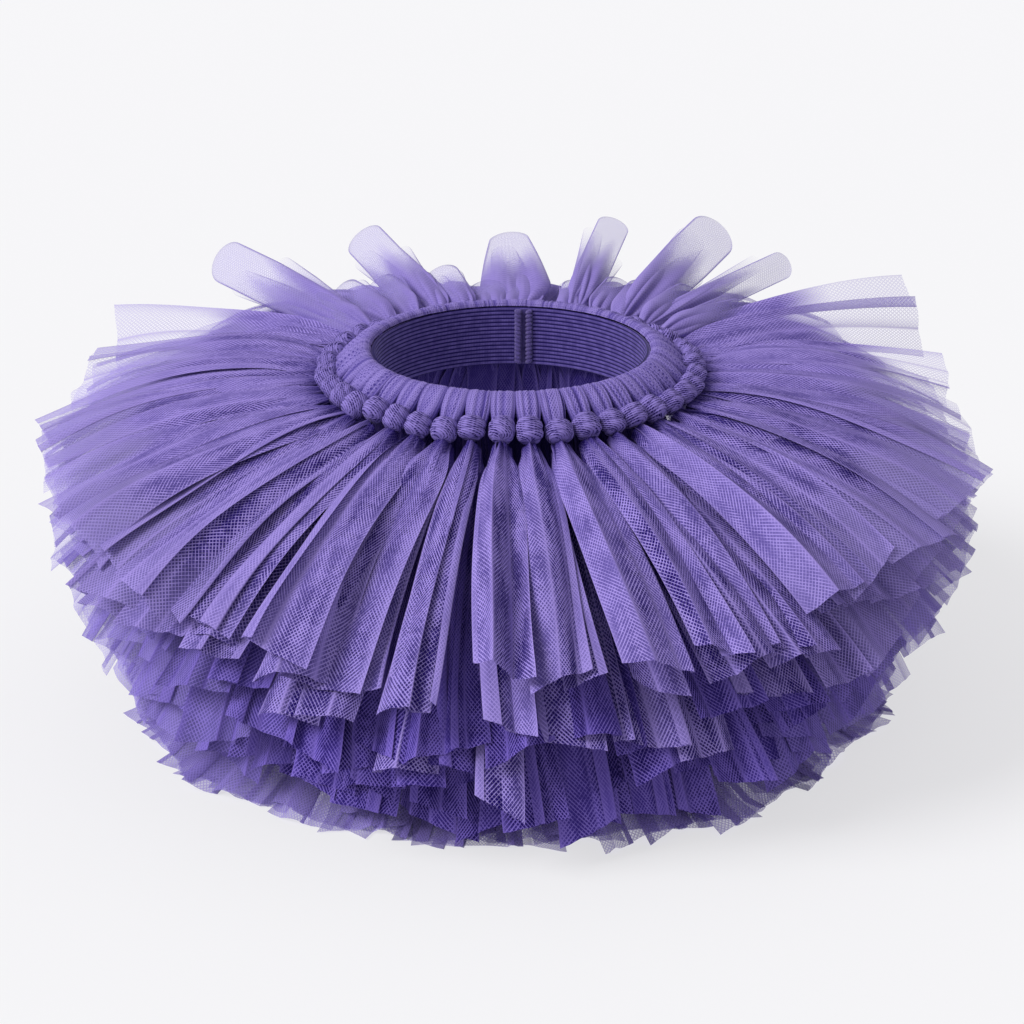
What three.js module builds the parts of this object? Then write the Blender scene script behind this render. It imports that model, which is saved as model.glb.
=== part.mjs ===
// Baby's tutu: strips of tulle knotted round a ring of ribbed elastic. Millimetres, +Z up.
// It stands on the ends of its lowest tails, with the waist ring level and open at the top.
// Azimuth 0 is the front (-Y), and azimuth 90 the right side as seen from there (+X).
import * as THREE from 'three';

// Elastic waistband
const BAND_INNER_RADIUS = 69.7;
const BAND_THICKNESS = 2.2;
const BAND_WIDTH = 32;
const BAND_TOP = 182.7;
const BAND_SEGMENTS = 72;
const SEAM_GAP = 0.3;

// Lapped join of the elastic, on its inner face at the back
const JOIN = { width: 8.4, thickness: 1.4, length: 30, azimuth: 174.3 };

// Cloth
const TULLE_WALL = 1.6;
const KNOT_PLACES = 42;
const FIRST_KNOT_AZIMUTH = -2.6;
const QUARTERS = ['right', 'back', 'left', 'front'];
const FIRST_QUARTER_AZIMUTH = 45;
const HALF_SIDE_GAP = 0.35;
const LENGTH_SPREAD = 0.06;
const LIFT_SPREAD = 3.4;

// A knotted place, from the fold over the elastic's edge to the knot's outer end.
// fill: share of the place's width that the cloth takes; slope: fall of its axis in degrees.
const BAND_OUTER_RADIUS = BAND_INNER_RADIUS + BAND_THICKNESS;
const KNOT_SECTIONS = [
  { radius: BAND_OUTER_RADIUS + 0.4, height: 179.2, fill: 0.95, halfDepth: 4.6, slope: 0 },
  { radius: 75.6, height: 180.4, fill: 0.94, halfDepth: 4.4, slope: 14 },
  { radius: 80.4, height: 178.2, fill: 0.82, halfDepth: 3.9, slope: 26 },
  { radius: 86.0, height: 174.7, fill: 0.64, halfDepth: 3.4, slope: 32 },
  { radius: 89.6, height: 172.4, fill: 0.86, halfDepth: 5.2, slope: 32 },
  { radius: 94.0, height: 169.8, fill: 0.92, halfDepth: 6.2, slope: 30 },
  { radius: 98.6, height: 167.4, fill: 0.72, halfDepth: 4.8, slope: 24 },
  { radius: 101.2, height: 166.2, fill: 0.42, halfDepth: 2.6, slope: 20 },
];

// The tail that a back knot leaves as a closed loop. along: share of the way to its tip.
const LOOP_SECTIONS = [
  { along: 0.16, halfWidth: 0.42, halfDepth: 1.5, rise: 0.02 },
  { along: 0.50, halfWidth: 0.85, halfDepth: 1.3, rise: 0.12 },
  { along: 0.84, halfWidth: 1.00, halfDepth: 1.3, rise: 0.06 },
  { along: 0.96, halfWidth: 0.70, halfDepth: 1.2, rise: 0.01 },
  { along: 1.00, halfWidth: 0.28, halfDepth: 1.0, rise: 0.00 },
];
const LOOPS = [
  { knot: 17, azimuth: 134.5, reach: 214, height: 186, width: 22 },
  { knot: 18, azimuth: 145.0, reach: 208, height: 202, width: 26 },
  { knot: 20, azimuth: 162.5, reach: 200, height: 199, width: 22 },
  { knot: 22, azimuth: 180.5, reach: 186, height: 192, width: 24 },
  { knot: 25, azimuth: 205.0, reach: 206, height: 190, width: 22 },
  { knot: 28, azimuth: 226.0, reach: 226, height: 190, width: 22 },
];

// Rings of tails that stand out from under the knots. Heights and reaches are those of the
// tails' tips at the front, at the sides and at the back. bow is the rise of a tail's middle
// as a share of its length, and pleat the height of its folds at the tip.
const FANNED_TIERS = [
  {
    tails: 40, rows: 4, rootRadius: 97.6, rootHeight: 162.7, pleat: 5.0, bow: 0.055, seed: 3,
    height: { front: 102, side: 142, back: 138 }, reach: { front: 238, side: 240, back: 228 },
  },
  {
    tails: 40, rows: 3, rootRadius: 97.0, rootHeight: 160.5, pleat: 5.2, bow: 0.060, seed: 11,
    height: { front: 54, side: 102, back: 110 }, reach: { front: 227, side: 238, back: 226 },
  },
  {
    tails: 32, rows: 3, rootRadius: 96.2, rootHeight: 158.3, pleat: 5.0, bow: 0.065, seed: 23,
    height: { front: 27, side: 58, back: 72 }, reach: { front: 208, side: 224, back: 212 },
  },
];

// The lowest ring hangs behind the elastic and its tails' ends lie out along the floor.
// leanR and leanZ: the way from a row's inner point to its outer point, times the wall.
const FLOOR_TIER = { tails: 24, pleat: 5.0, seed: 41, footLength: 15 };
const FLOOR_TIER_ROWS = [
  { radius: 74.2, height: 173.0, pleat: 0.00, leanR: 1.00, leanZ: 0.10, foot: 0 },
  { radius: 76.0, height: 149.0, pleat: 0.05, leanR: 0.90, leanZ: 0.45, foot: 0 },
  { radius: 130.0, height: 86.0, pleat: 0.70, leanR: 0.80, leanZ: 0.60, foot: 0 },
  { radius: 176.0, height: TULLE_WALL, pleat: 1.00, leanR: 0.55, leanZ: 1.00, foot: 0 },
  { radius: 176.0, height: TULLE_WALL, pleat: 1.00, leanR: 0.00, leanZ: 1.00, foot: 1 },
];

// Columns across one tail: its notch to the last tail, its two edges and the crest between.
const TAIL_COLUMNS = [
  { across: 0.00, offset: -1.0, length: 0.86 },
  { across: 0.17, offset: 0.0, length: 0.98 },
  { across: 0.50, offset: 1.0, length: 1.00 },
  { across: 0.83, offset: 0.0, length: 0.97 },
];

const tulle = { color: 0x6f5fc0, roughness: 0.85, metalness: 0 };
const elastic = { color: 0x4f4396, roughness: 0.8, metalness: 0 };

const tutu = new THREE.Group();

function named(name, geometry, look) {
  const mesh = new THREE.Mesh(geometry, new THREE.MeshStandardMaterial(look));
  mesh.name = name;
  tutu.add(mesh);
  return mesh;
}

function onRing(azimuthDegrees, radius, height) {
  const azimuth = THREE.MathUtils.degToRad(azimuthDegrees);
  return new THREE.Vector3(radius * Math.sin(azimuth), -radius * Math.cos(azimuth), height);
}

// An uneven but repeatable value from -1 to 1 for each whole number and seed
function uneven(index, seed) {
  const wave = Math.sin(index * 12.9898 + seed * 78.233) * 43758.5453;
  return 2 * (wave - Math.floor(wave)) - 1;
}

// A value that is exact at the front, the sides and the back and smooth between them
function aroundWaist({ front, side, back }, azimuthDegrees) {
  const azimuth = THREE.MathUtils.degToRad(azimuthDegrees);
  const mean = (front + back + 2 * side) / 4;
  const frontToBack = (front - back) / 2;
  const sideToEnds = (front + back - 2 * side) / 4;
  return mean + frontToBack * Math.cos(azimuth) + sideToEnds * Math.cos(2 * azimuth);
}

function geometryFrom(points, faces) {
  const geometry = new THREE.BufferGeometry();
  const positions = points.flatMap((point) => [point.x, point.y, point.z]);
  geometry.setAttribute('position', new THREE.Float32BufferAttribute(positions, 3));
  geometry.setIndex(faces.flat());
  geometry.computeVertexNormals();
  return geometry;
}

// A wall from a grid of outer and inner points, columns by azimuth and rows from the root
// outwards, closed round all four edges
function closedWall(columns) {
  const rows = columns[0].length;
  const points = columns.flatMap((column) => column.flatMap((pair) => [pair.outer, pair.inner]));
  const outer = (column, row) => 2 * (column * rows + row);
  const inner = (column, row) => outer(column, row) + 1;
  const faces = [];
  const quad = (a, b, c, d) => faces.push([a, b, c], [a, c, d]);
  for (let c = 0; c < columns.length - 1; c += 1) {
    for (let r = 0; r < rows - 1; r += 1) {
      quad(outer(c, r), outer(c, r + 1), outer(c + 1, r + 1), outer(c + 1, r));
      faces.push([inner(c, r), inner(c + 1, r + 1), inner(c, r + 1)]);
      faces.push([inner(c, r), inner(c + 1, r), inner(c + 1, r + 1)]);
    }
    quad(outer(c, 0), outer(c + 1, 0), inner(c + 1, 0), inner(c, 0));
    const last = rows - 1;
    quad(outer(c, last), inner(c, last), inner(c + 1, last), outer(c + 1, last));
  }
  const end = columns.length - 1;
  for (let r = 0; r < rows - 1; r += 1) {
    quad(outer(0, r), inner(0, r), inner(0, r + 1), outer(0, r + 1));
    quad(outer(end, r), outer(end, r + 1), inner(end, r + 1), inner(end, r));
  }
  return geometryFrom(points, faces);
}

// A body lofted through eight-sided sections, each a centre with its half width across
// and half depth along the given directions
const SECTION_CORNER = 0.76;
const SECTION_POINTS = [
  [1, 0], [SECTION_CORNER, SECTION_CORNER], [0, 1], [-SECTION_CORNER, SECTION_CORNER],
  [-1, 0], [-SECTION_CORNER, -SECTION_CORNER], [0, -1], [SECTION_CORNER, -SECTION_CORNER],
];

function loft(sections) {
  const sides = SECTION_POINTS.length;
  const points = sections.flatMap(({ centre, across, depth }) => (
    SECTION_POINTS.map(([u, v]) => centre.clone().addScaledVector(across, u).addScaledVector(depth, v))
  ));
  const faces = [];
  for (let s = 0; s < sections.length - 1; s += 1) {
    for (let k = 0; k < sides; k += 1) {
      const next = (k + 1) % sides;
      const [a, b] = [s * sides + k, s * sides + next];
      faces.push([a, b, b + sides], [a, b + sides, a + sides]);
    }
  }
  const last = (sections.length - 1) * sides;
  for (let k = 1; k < sides - 1; k += 1) {
    faces.push([0, k + 1, k], [last, last + k, last + k + 1]);
  }
  return geometryFrom(points, faces);
}

// Elastic ring, its lapped join inside it at the back
function addWaistband() {
  const bottom = BAND_TOP - BAND_WIDTH;
  const section = [
    [BAND_INNER_RADIUS, BAND_TOP], [BAND_INNER_RADIUS, bottom], [BAND_OUTER_RADIUS, bottom],
    [BAND_OUTER_RADIUS, BAND_TOP], [BAND_INNER_RADIUS, BAND_TOP],
  ].map(([radius, height]) => new THREE.Vector2(radius, height));
  const ring = named('elastic_band', new THREE.LatheGeometry(section, BAND_SEGMENTS), elastic);
  ring.rotation.x = Math.PI / 2;

  const edgeRadius = (BAND_INNER_RADIUS - SEAM_GAP) * Math.cos(Math.PI / BAND_SEGMENTS);
  const faceRadius = Math.sqrt(edgeRadius ** 2 - (JOIN.width / 2) ** 2);
  const plate = new THREE.BoxGeometry(JOIN.width, JOIN.thickness, JOIN.length);
  const join = named('band_join', plate, elastic);
  join.position.copy(onRing(JOIN.azimuth, faceRadius - JOIN.thickness / 2, BAND_TOP - BAND_WIDTH / 2));
  join.rotation.z = THREE.MathUtils.degToRad(JOIN.azimuth);
}

// One place of the band: wrap, neck and knot, and a loop where the table names one
function knotSections(azimuthDegrees) {
  const halfPlace = THREE.MathUtils.degToRad(180 / KNOT_PLACES);
  const outward = onRing(azimuthDegrees, 1, 0);
  const across = onRing(azimuthDegrees + 90, 1, 0);
  return KNOT_SECTIONS.map(({ radius, height, fill, halfDepth, slope }) => {
    const fall = THREE.MathUtils.degToRad(slope);
    const depth = outward.clone().multiplyScalar(Math.sin(fall)).setZ(Math.cos(fall));
    return {
      centre: onRing(azimuthDegrees, radius, height),
      across: across.clone().multiplyScalar(fill * radius * Math.tan(halfPlace)),
      depth: depth.multiplyScalar(halfDepth),
    };
  });
}

function loopSections(start, { azimuth, reach, height, width }) {
  const tip = onRing(azimuth, reach, height);
  const run = tip.clone().sub(start);
  const level = run.clone().setZ(0).normalize();
  const across = new THREE.Vector3(-level.y, level.x, 0);
  return LOOP_SECTIONS.map(({ along, halfWidth, halfDepth, rise }) => {
    const centre = start.clone().addScaledVector(run, along);
    centre.z += rise * run.length();
    return {
      centre,
      across: across.clone().multiplyScalar(halfWidth * width / 2),
      depth: new THREE.Vector3(0, 0, halfDepth),
    };
  });
}

function addKnots() {
  for (let place = 0; place < KNOT_PLACES; place += 1) {
    const azimuth = FIRST_KNOT_AZIMUTH + place * 360 / KNOT_PLACES;
    const sections = knotSections(azimuth);
    const loop = LOOPS.find(({ knot }) => knot === place + 1);
    if (loop) {
      sections.push(...loopSections(sections.at(-1).centre, loop));
    }
    named(`knot_${String(place + 1).padStart(2, '0')}`, loft(sections), tulle);
  }
}

// One column of a fanned tier: root under the knots, tip by azimuth, pleat growing outwards
function fannedColumn(tier, azimuthDegrees, { offset, length, lift }) {
  const root = new THREE.Vector2(tier.rootRadius, tier.rootHeight);
  const tip = new THREE.Vector2(
    aroundWaist(tier.reach, azimuthDegrees),
    aroundWaist(tier.height, azimuthDegrees),
  );
  const chord = tip.sub(root).multiplyScalar(length).rotateAround(new THREE.Vector2(), lift);
  const normal = new THREE.Vector2(-chord.y, chord.x).normalize();
  const column = [];
  for (let row = 0; row <= tier.rows; row += 1) {
    const share = row / tier.rows;
    const rise = tier.bow * chord.length() * 4 * share * (1 - share) + tier.pleat * offset * share;
    const outer = root.clone().addScaledVector(chord, share).addScaledVector(normal, rise);
    const inner = outer.clone().addScaledVector(normal, -TULLE_WALL);
    column.push({
      outer: onRing(azimuthDegrees, outer.x, outer.y),
      inner: onRing(azimuthDegrees, inner.x, inner.y),
    });
  }
  return column;
}

// One column of the lowest tier, down behind the elastic to its foot flat on the floor
function floorColumn(tier, azimuthDegrees, { offset, length }) {
  return FLOOR_TIER_ROWS.map(({ radius, height, pleat, leanR, leanZ, foot }) => {
    const outerRadius = radius + pleat * tier.pleat * offset + foot * tier.footLength * length;
    return {
      outer: onRing(azimuthDegrees, outerRadius, height),
      inner: onRing(azimuthDegrees, outerRadius - leanR * TULLE_WALL, height - leanZ * TULLE_WALL),
    };
  });
}

// A tier in four quarters that meet at the notches between two tails
function addTier(number, tier, columnAt) {
  const tailAngle = 360 / tier.tails;
  const tailsPerQuarter = tier.tails / QUARTERS.length;
  const gapAt = (side) => side * THREE.MathUtils.radToDeg(HALF_SIDE_GAP / BAND_OUTER_RADIUS);
  QUARTERS.forEach((side, quarter) => {
    const columns = [];
    for (let step = 0; step <= tailsPerQuarter; step += 1) {
      const tail = (quarter * tailsPerQuarter + step) % tier.tails;
      const start = FIRST_QUARTER_AZIMUTH + (quarter * tailsPerQuarter + step) * tailAngle;
      const isEnd = step === tailsPerQuarter;
      const stretch = 1 + LENGTH_SPREAD * uneven(tail, tier.seed);
      const lift = THREE.MathUtils.degToRad(LIFT_SPREAD) * uneven(tail, tier.seed + 1);
      const shown = isEnd ? TAIL_COLUMNS.slice(0, 1) : TAIL_COLUMNS;
      shown.forEach(({ across, offset, length }) => {
        const isQuarterStart = step === 0 && across === 0;
        const gap = isEnd ? gapAt(-1) : gapAt(isQuarterStart ? 1 : 0);
        const azimuth = start + across * tailAngle + gap;
        columns.push(columnAt(tier, azimuth, { offset, length: length * stretch, lift }));
      });
    }
    named(`tier_${number}_${side}`, closedWall(columns), tulle);
  });
}

addWaistband();
addKnots();
FANNED_TIERS.forEach((tier, index) => addTier(index + 1, tier, fannedColumn));
addTier(FANNED_TIERS.length + 1, FLOOR_TIER, floorColumn);

// The origin is on the floor, below the middle of the whole
const bounds = new THREE.Box3().setFromObject(tutu);
const middle = bounds.getCenter(new THREE.Vector3());
tutu.position.set(-middle.x, -middle.y, -bounds.min.z);
tutu.updateMatrixWorld(true);

export default tutu;
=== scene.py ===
"""A baby's tulle tutu: net strips knotted round a ribbed elastic, standing by itself."""

import logging
import math
from dataclasses import dataclass
from enum import Enum

import bmesh
import bpy
import numpy as np
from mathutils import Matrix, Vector

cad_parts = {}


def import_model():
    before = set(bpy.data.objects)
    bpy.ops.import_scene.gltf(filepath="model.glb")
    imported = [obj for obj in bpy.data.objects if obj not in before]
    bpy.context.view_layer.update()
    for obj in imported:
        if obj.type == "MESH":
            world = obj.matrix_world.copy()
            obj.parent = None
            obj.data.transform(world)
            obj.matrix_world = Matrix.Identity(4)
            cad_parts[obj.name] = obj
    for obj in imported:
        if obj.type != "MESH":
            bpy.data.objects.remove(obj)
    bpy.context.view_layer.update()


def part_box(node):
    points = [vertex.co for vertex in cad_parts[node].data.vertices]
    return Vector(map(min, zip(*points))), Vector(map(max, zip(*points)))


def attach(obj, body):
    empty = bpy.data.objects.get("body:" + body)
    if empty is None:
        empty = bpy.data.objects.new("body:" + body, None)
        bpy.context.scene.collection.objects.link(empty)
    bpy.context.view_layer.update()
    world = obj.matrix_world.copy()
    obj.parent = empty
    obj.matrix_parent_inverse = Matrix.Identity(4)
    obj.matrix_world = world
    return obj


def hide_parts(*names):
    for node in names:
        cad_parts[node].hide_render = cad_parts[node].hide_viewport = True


logger = logging.getLogger("tutu")

MM = 0.001
PLACES = 42
FIRST_PLACE_AZIMUTH = -2.6
# How far the elastic's bare face lies inside the band's box, in metres
BAND_DEPTH = 0.0021
CLOTH_TINT = (0.75, 0.7, 1.0, 1.0)
Colour = tuple[float, float, float, float]


class Side(Enum):
    """A quarter of the skirt, with the azimuth where it starts, in degrees."""

    RIGHT = 45.0
    BACK = 135.0
    LEFT = 225.0
    FRONT = 315.0

    def holds(self, azimuth: float) -> bool:
        """Tells whether an azimuth in degrees lies in this quarter."""
        return (azimuth - self.value) % 360.0 < 90.0

    @property
    def word(self) -> str:
        """The quarter's name in the names of pieces and nodes."""
        return self.name.lower()


def place_azimuth(place: int) -> float:
    """Gives a knotted place's azimuth in degrees, counted from the front."""
    return FIRST_PLACE_AZIMUTH + place * 360.0 / PLACES


@dataclass(frozen=True)
class Waist:
    """The waistband's axis and sizes, read from the frame."""

    x: float
    y: float
    outer_radius: float
    top: float
    bottom: float

    @classmethod
    def from_frame(cls) -> "Waist":
        """Reads the waistband's box from the frame."""
        low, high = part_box("elastic_band")
        return cls(
            x=(low.x + high.x) / 2,
            y=(low.y + high.y) / 2,
            outer_radius=(high.x - low.x) / 2,
            top=high.z,
            bottom=low.z,
        )

    def point(self, azimuth: np.ndarray, radius: np.ndarray, height: np.ndarray) -> np.ndarray:
        """Places points round the waist's axis.

        Args:
            azimuth: Degrees from the front, growing towards +X.
            radius: Distance from the axis in metres.
            height: Height above the floor in metres.

        Returns:
            The points, with their coordinates along the last axis.
        """
        turn = np.radians(azimuth)
        x = self.x + radius * np.sin(turn)
        y = self.y - radius * np.cos(turn)
        return np.stack(np.broadcast_arrays(x, y, height), axis=-1)


def outward(azimuth: float) -> np.ndarray:
    """Gives the level direction away from the waist's axis at an azimuth in degrees."""
    turn = math.radians(azimuth)
    return np.array([math.sin(turn), -math.cos(turn), 0.0])


def across(azimuth: float) -> np.ndarray:
    """Gives the level direction along the band at an azimuth in degrees."""
    turn = math.radians(azimuth)
    return np.array([math.cos(turn), math.sin(turn), 0.0])


def around_waist(front: float, side: float, back: float, azimuth: float) -> float:
    """Blends a value that is known at the front, the sides and the back.

    Args:
        front: The value at azimuth 0.
        side: The value at azimuths 90 and 270.
        back: The value at azimuth 180.
        azimuth: Where the value is wanted, in degrees.

    Returns:
        The value there, smooth all round.
    """
    turn = math.radians(azimuth)
    mean = (front + back + 2 * side) / 4
    level = (front - back) / 2 * math.cos(turn)
    return mean + level + (front + back - 2 * side) / 4 * math.cos(2 * turn)


class Nodes:
    """A material's node tree, with short ways to add what the finishes need."""

    def __init__(self, name: str) -> None:
        """Starts an empty material with one Principled shader."""
        self.material = bpy.data.materials.new(name)
        self.material.use_nodes = True
        self.tree = self.material.node_tree
        self.tree.nodes.clear()
        self.shader = self.tree.nodes.new("ShaderNodeBsdfPrincipled")
        output = self.tree.nodes.new("ShaderNodeOutputMaterial")
        self.tree.links.new(self.shader.outputs["BSDF"], output.inputs["Surface"])

    def feed(self, source: object, socket: object) -> None:
        """Links a source to a socket, or sets the socket when the source is a constant."""
        if isinstance(source, bpy.types.NodeSocket):
            self.tree.links.new(source, socket)
        else:
            socket.default_value = source

    def maths(self, operation: str, *values: object) -> bpy.types.NodeSocket:
        """Adds a Math node.

        Args:
            operation: The Math node's operation.
            values: A socket or a number for each input in turn.

        Returns:
            The node's output.
        """
        node = self.tree.nodes.new("ShaderNodeMath")
        node.operation = operation
        for value, socket in zip(values, node.inputs):
            self.feed(value, socket)
        return node.outputs[0]

    def ramp(
        self, value: object, low: float, high: float, start: float, end: float
    ) -> bpy.types.NodeSocket:
        """Maps a value smoothly from one range to another.

        Args:
            value: The socket to map.
            low: Where the range starts.
            high: Where the range ends.
            start: The result at the start.
            end: The result at the end.

        Returns:
            The mapped value's output.
        """
        node = self.tree.nodes.new("ShaderNodeMapRange")
        node.interpolation_type = "SMOOTHSTEP"
        names = ("Value", "From Min", "From Max", "To Min", "To Max")
        for source, name in zip((value, low, high, start, end), names):
            self.feed(source, node.inputs[name])
        return node.outputs["Result"]

    def cloth_axes(self) -> tuple[bpy.types.NodeSocket, bpy.types.NodeSocket]:
        """Gives the cloth's own coordinates in metres, across and along."""
        uv = self.tree.nodes.new("ShaderNodeUVMap")
        uv.uv_map = "cloth"
        parts = self.tree.nodes.new("ShaderNodeSeparateXYZ")
        self.feed(uv.outputs["UV"], parts.inputs["Vector"])
        return parts.outputs["X"], parts.outputs["Y"]

    def object_noise(self, scale: float, detail: float = 2.0) -> bpy.types.NodeSocket:
        """Adds noise on Object coordinates, from 0 to 1."""
        place = self.tree.nodes.new("ShaderNodeTexCoord")
        noise = self.tree.nodes.new("ShaderNodeTexNoise")
        noise.inputs["Scale"].default_value = scale
        noise.inputs["Detail"].default_value = detail
        self.feed(place.outputs["Object"], noise.inputs["Vector"])
        return noise.outputs["Fac"]

    def blend(self, factor: object, first: object, second: object) -> bpy.types.NodeSocket:
        """Mixes two colours by a factor."""
        node = self.tree.nodes.new("ShaderNodeMix")
        node.data_type = "RGBA"
        for source, socket in zip((factor, first, second), (node.inputs[0], node.inputs[6], node.inputs[7])):
            self.feed(source, socket)
        return node.outputs[2]

    def bump(self, height: object, depth: float, strength: float) -> None:
        """Bumps the shader's surface by a height from 0 to 1."""
        node = self.tree.nodes.new("ShaderNodeBump")
        node.inputs["Strength"].default_value = strength
        node.inputs["Distance"].default_value = depth
        self.feed(height, node.inputs["Height"])
        self.feed(node.outputs["Normal"], self.shader.inputs["Normal"])

    def cloth_shader(self, roughness: float, sheen: float, tint: Colour) -> None:
        """Sets the constants that every cloth here shares."""
        self.shader.inputs["Roughness"].default_value = roughness
        self.shader.inputs["Specular IOR Level"].default_value = 0.05
        self.shader.inputs["Sheen Weight"].default_value = sheen
        self.shader.inputs["Sheen Roughness"].default_value = 0.45
        self.shader.inputs["Sheen Tint"].default_value = tint

    def weave(self) -> list[bpy.types.NodeSocket]:
        """Gives how open, sheer and folded the cloth is at each point, and how much of it is there and how
        deep its painted shade is.
        """
        record = self.tree.nodes.new("ShaderNodeAttribute")
        record.attribute_name = "weave"
        parts = self.tree.nodes.new("ShaderNodeSeparateColor")
        self.feed(record.outputs["Color"], parts.inputs["Color"])
        return [*(parts.outputs[name] for name in ("Red", "Green", "Blue")), record.outputs["Alpha"]]

    def lerp(self, factor: object, first: object, second: object) -> bpy.types.NodeSocket:
        """Mixes two numbers by a factor."""
        return self.maths("MULTIPLY_ADD", self.maths("SUBTRACT", second, first), factor, first)

    def long_noise(self, side: float, along: float, shift: float) -> bpy.types.NodeSocket:
        """Adds noise on the cloth's coordinates, stretched along the strip, from 0 to 1."""
        u, v = self.cloth_axes()
        spot = self.tree.nodes.new("ShaderNodeCombineXYZ")
        self.feed(self.maths("MULTIPLY_ADD", u, side, shift), spot.inputs["X"])
        self.feed(self.maths("MULTIPLY", v, along), spot.inputs["Y"])
        noise = self.tree.nodes.new("ShaderNodeTexNoise")
        noise.inputs["Scale"].default_value = 1.0
        noise.inputs["Detail"].default_value = 1.0
        self.feed(spot.outputs["Vector"], noise.inputs["Vector"])
        return noise.outputs["Fac"]

    def diamond_net(
        self, pitch: float, widths: tuple[object, object], lean: float, shift: float = 0.0
    ) -> bpy.types.NodeSocket:
        """Draws two families of net threads that cross in diamonds.

        Args:
            pitch: Distance between threads of one family in metres.
            widths: Share of half the pitch that a thread covers, for each family, as a number or a socket.
            lean: Angle of the threads to the strip's length in degrees.
            shift: Distance that the net is moved along and across, in metres.

        Returns:
            1 on a thread and 0 in a hole.
        """
        u, v = (self.maths("ADD", axis, shift) for axis in self.cloth_axes())
        side = self.maths("MULTIPLY", u, math.cos(math.radians(lean)) / pitch)
        along = self.maths("MULTIPLY", v, math.sin(math.radians(lean)) / pitch)
        families = []
        for operation, width in zip(("ADD", "SUBTRACT"), widths):
            wave = self.maths("PINGPONG", self.maths(operation, side, along), 0.5)
            inner, outer = self.maths("MULTIPLY", width, 0.3), self.maths("MULTIPLY", width, 0.65)
            families.append(self.ramp(wave, inner, outer, 1.0, 0.0))
        return self.maths("MAXIMUM", *families)


@dataclass(frozen=True)
class NetFinish:
    """Tulle: bright threads over holes with painted shade where it is deep, seen through where it is one
    layer.
    """

    name: str
    thread_colour: Colour
    filled_colour: Colour
    shaded_under_colour: Colour
    shaded_deep_colour: Colour
    pitch: float = 1.5 * MM
    least_thread: float = 0.05
    most_thread: float = 0.42
    broken: float = 0.5
    sheer_thread: float = 0.4
    lean: float = 36.0
    thread_alpha: float = 0.38
    hole_alpha: float = 0.1
    fold_alpha: float = 0.7
    pale_colour: Colour = (0.39, 0.325, 0.72, 1.0)
    shaded_hole_colour: Colour = (0.008, 0.003, 0.08, 1.0)

    def material(self, sheer: bool) -> bpy.types.Material:
        """Builds the net, with painted shade in its holes: two more layers of net painted in dark, over a
        painted dark inside.

        Args:
            sheer: Whether it is seen through where the cloth's record says so.

        Returns:
            The material.
        """
        nodes = Nodes(f"{self.name}_sheer" if sheer else self.name)
        opened, thin, fold, presence_and_shade = nodes.weave()
        spread = (0.3, 0.7, self.least_thread, self.most_thread)
        widths = [nodes.ramp(nodes.long_noise(120.0, 36.0, shift), *spread) for shift in (0.0, 40.0)]
        breaks = nodes.long_noise(560.0, 330.0, 9.0)
        uneven = nodes.maths("MULTIPLY_ADD", breaks, self.broken, -0.5 * self.broken)
        widths = [nodes.maths("MAXIMUM", nodes.maths("ADD", width, uneven), 0.06) for width in widths]
        if sheer:
            widths = [nodes.lerp(thin, width, self.sheer_thread) for width in widths]
        net = nodes.diamond_net(self.pitch, widths, self.lean)
        thinner = [nodes.maths("MULTIPLY", width, 0.75) for width in reversed(widths)]
        # Painted shade in the holes: two more nets painted in dark colours, over the painted dark of the
        # skirt's inside
        under = nodes.diamond_net(self.pitch * 0.93, thinner, self.lean + 7.0, 0.3 * self.pitch)
        last = nodes.diamond_net(self.pitch * 1.1, (0.24, 0.24), self.lean - 6.0, 0.6 * self.pitch)
        depth = nodes.blend(under, nodes.blend(last, self.shaded_hole_colour, self.shaded_deep_colour), self.shaded_under_colour)
        filled = nodes.blend(nodes.maths("MAXIMUM", opened, 0.12), self.filled_colour, depth)
        cloth = nodes.blend(net, filled, self.thread_colour)
        if sheer:
            cloth = nodes.blend(thin, cloth, self.pale_colour)
        else:
            # Painted shade: towards the tails' knots the colour goes to the shaded deep colour
            cloth = nodes.blend(presence_and_shade, self.shaded_deep_colour, cloth)
        # Where the fold band is high the colour goes to the thread colour: more thread lies there, and on the
        # tails' creases the lighter line is also a painted highlight
        folded = nodes.blend(nodes.maths("MULTIPLY", fold, 0.75), cloth, self.thread_colour)
        nodes.feed(folded, nodes.shader.inputs["Base Color"])
        nodes.cloth_shader(0.75, 0.02, CLOTH_TINT)
        if sheer:
            hole = nodes.maths("MULTIPLY_ADD", thin, self.hole_alpha - 1.0, 1.0)
            thread = nodes.maths("MULTIPLY_ADD", thin, self.thread_alpha - 1.0, 1.0)
            creases = nodes.maths("MULTIPLY", fold, self.fold_alpha)
            alpha = nodes.maths("MAXIMUM", nodes.lerp(net, hole, thread), creases)
            nodes.feed(nodes.maths("MULTIPLY", alpha, presence_and_shade), nodes.shader.inputs["Alpha"])
        return nodes.material


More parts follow.
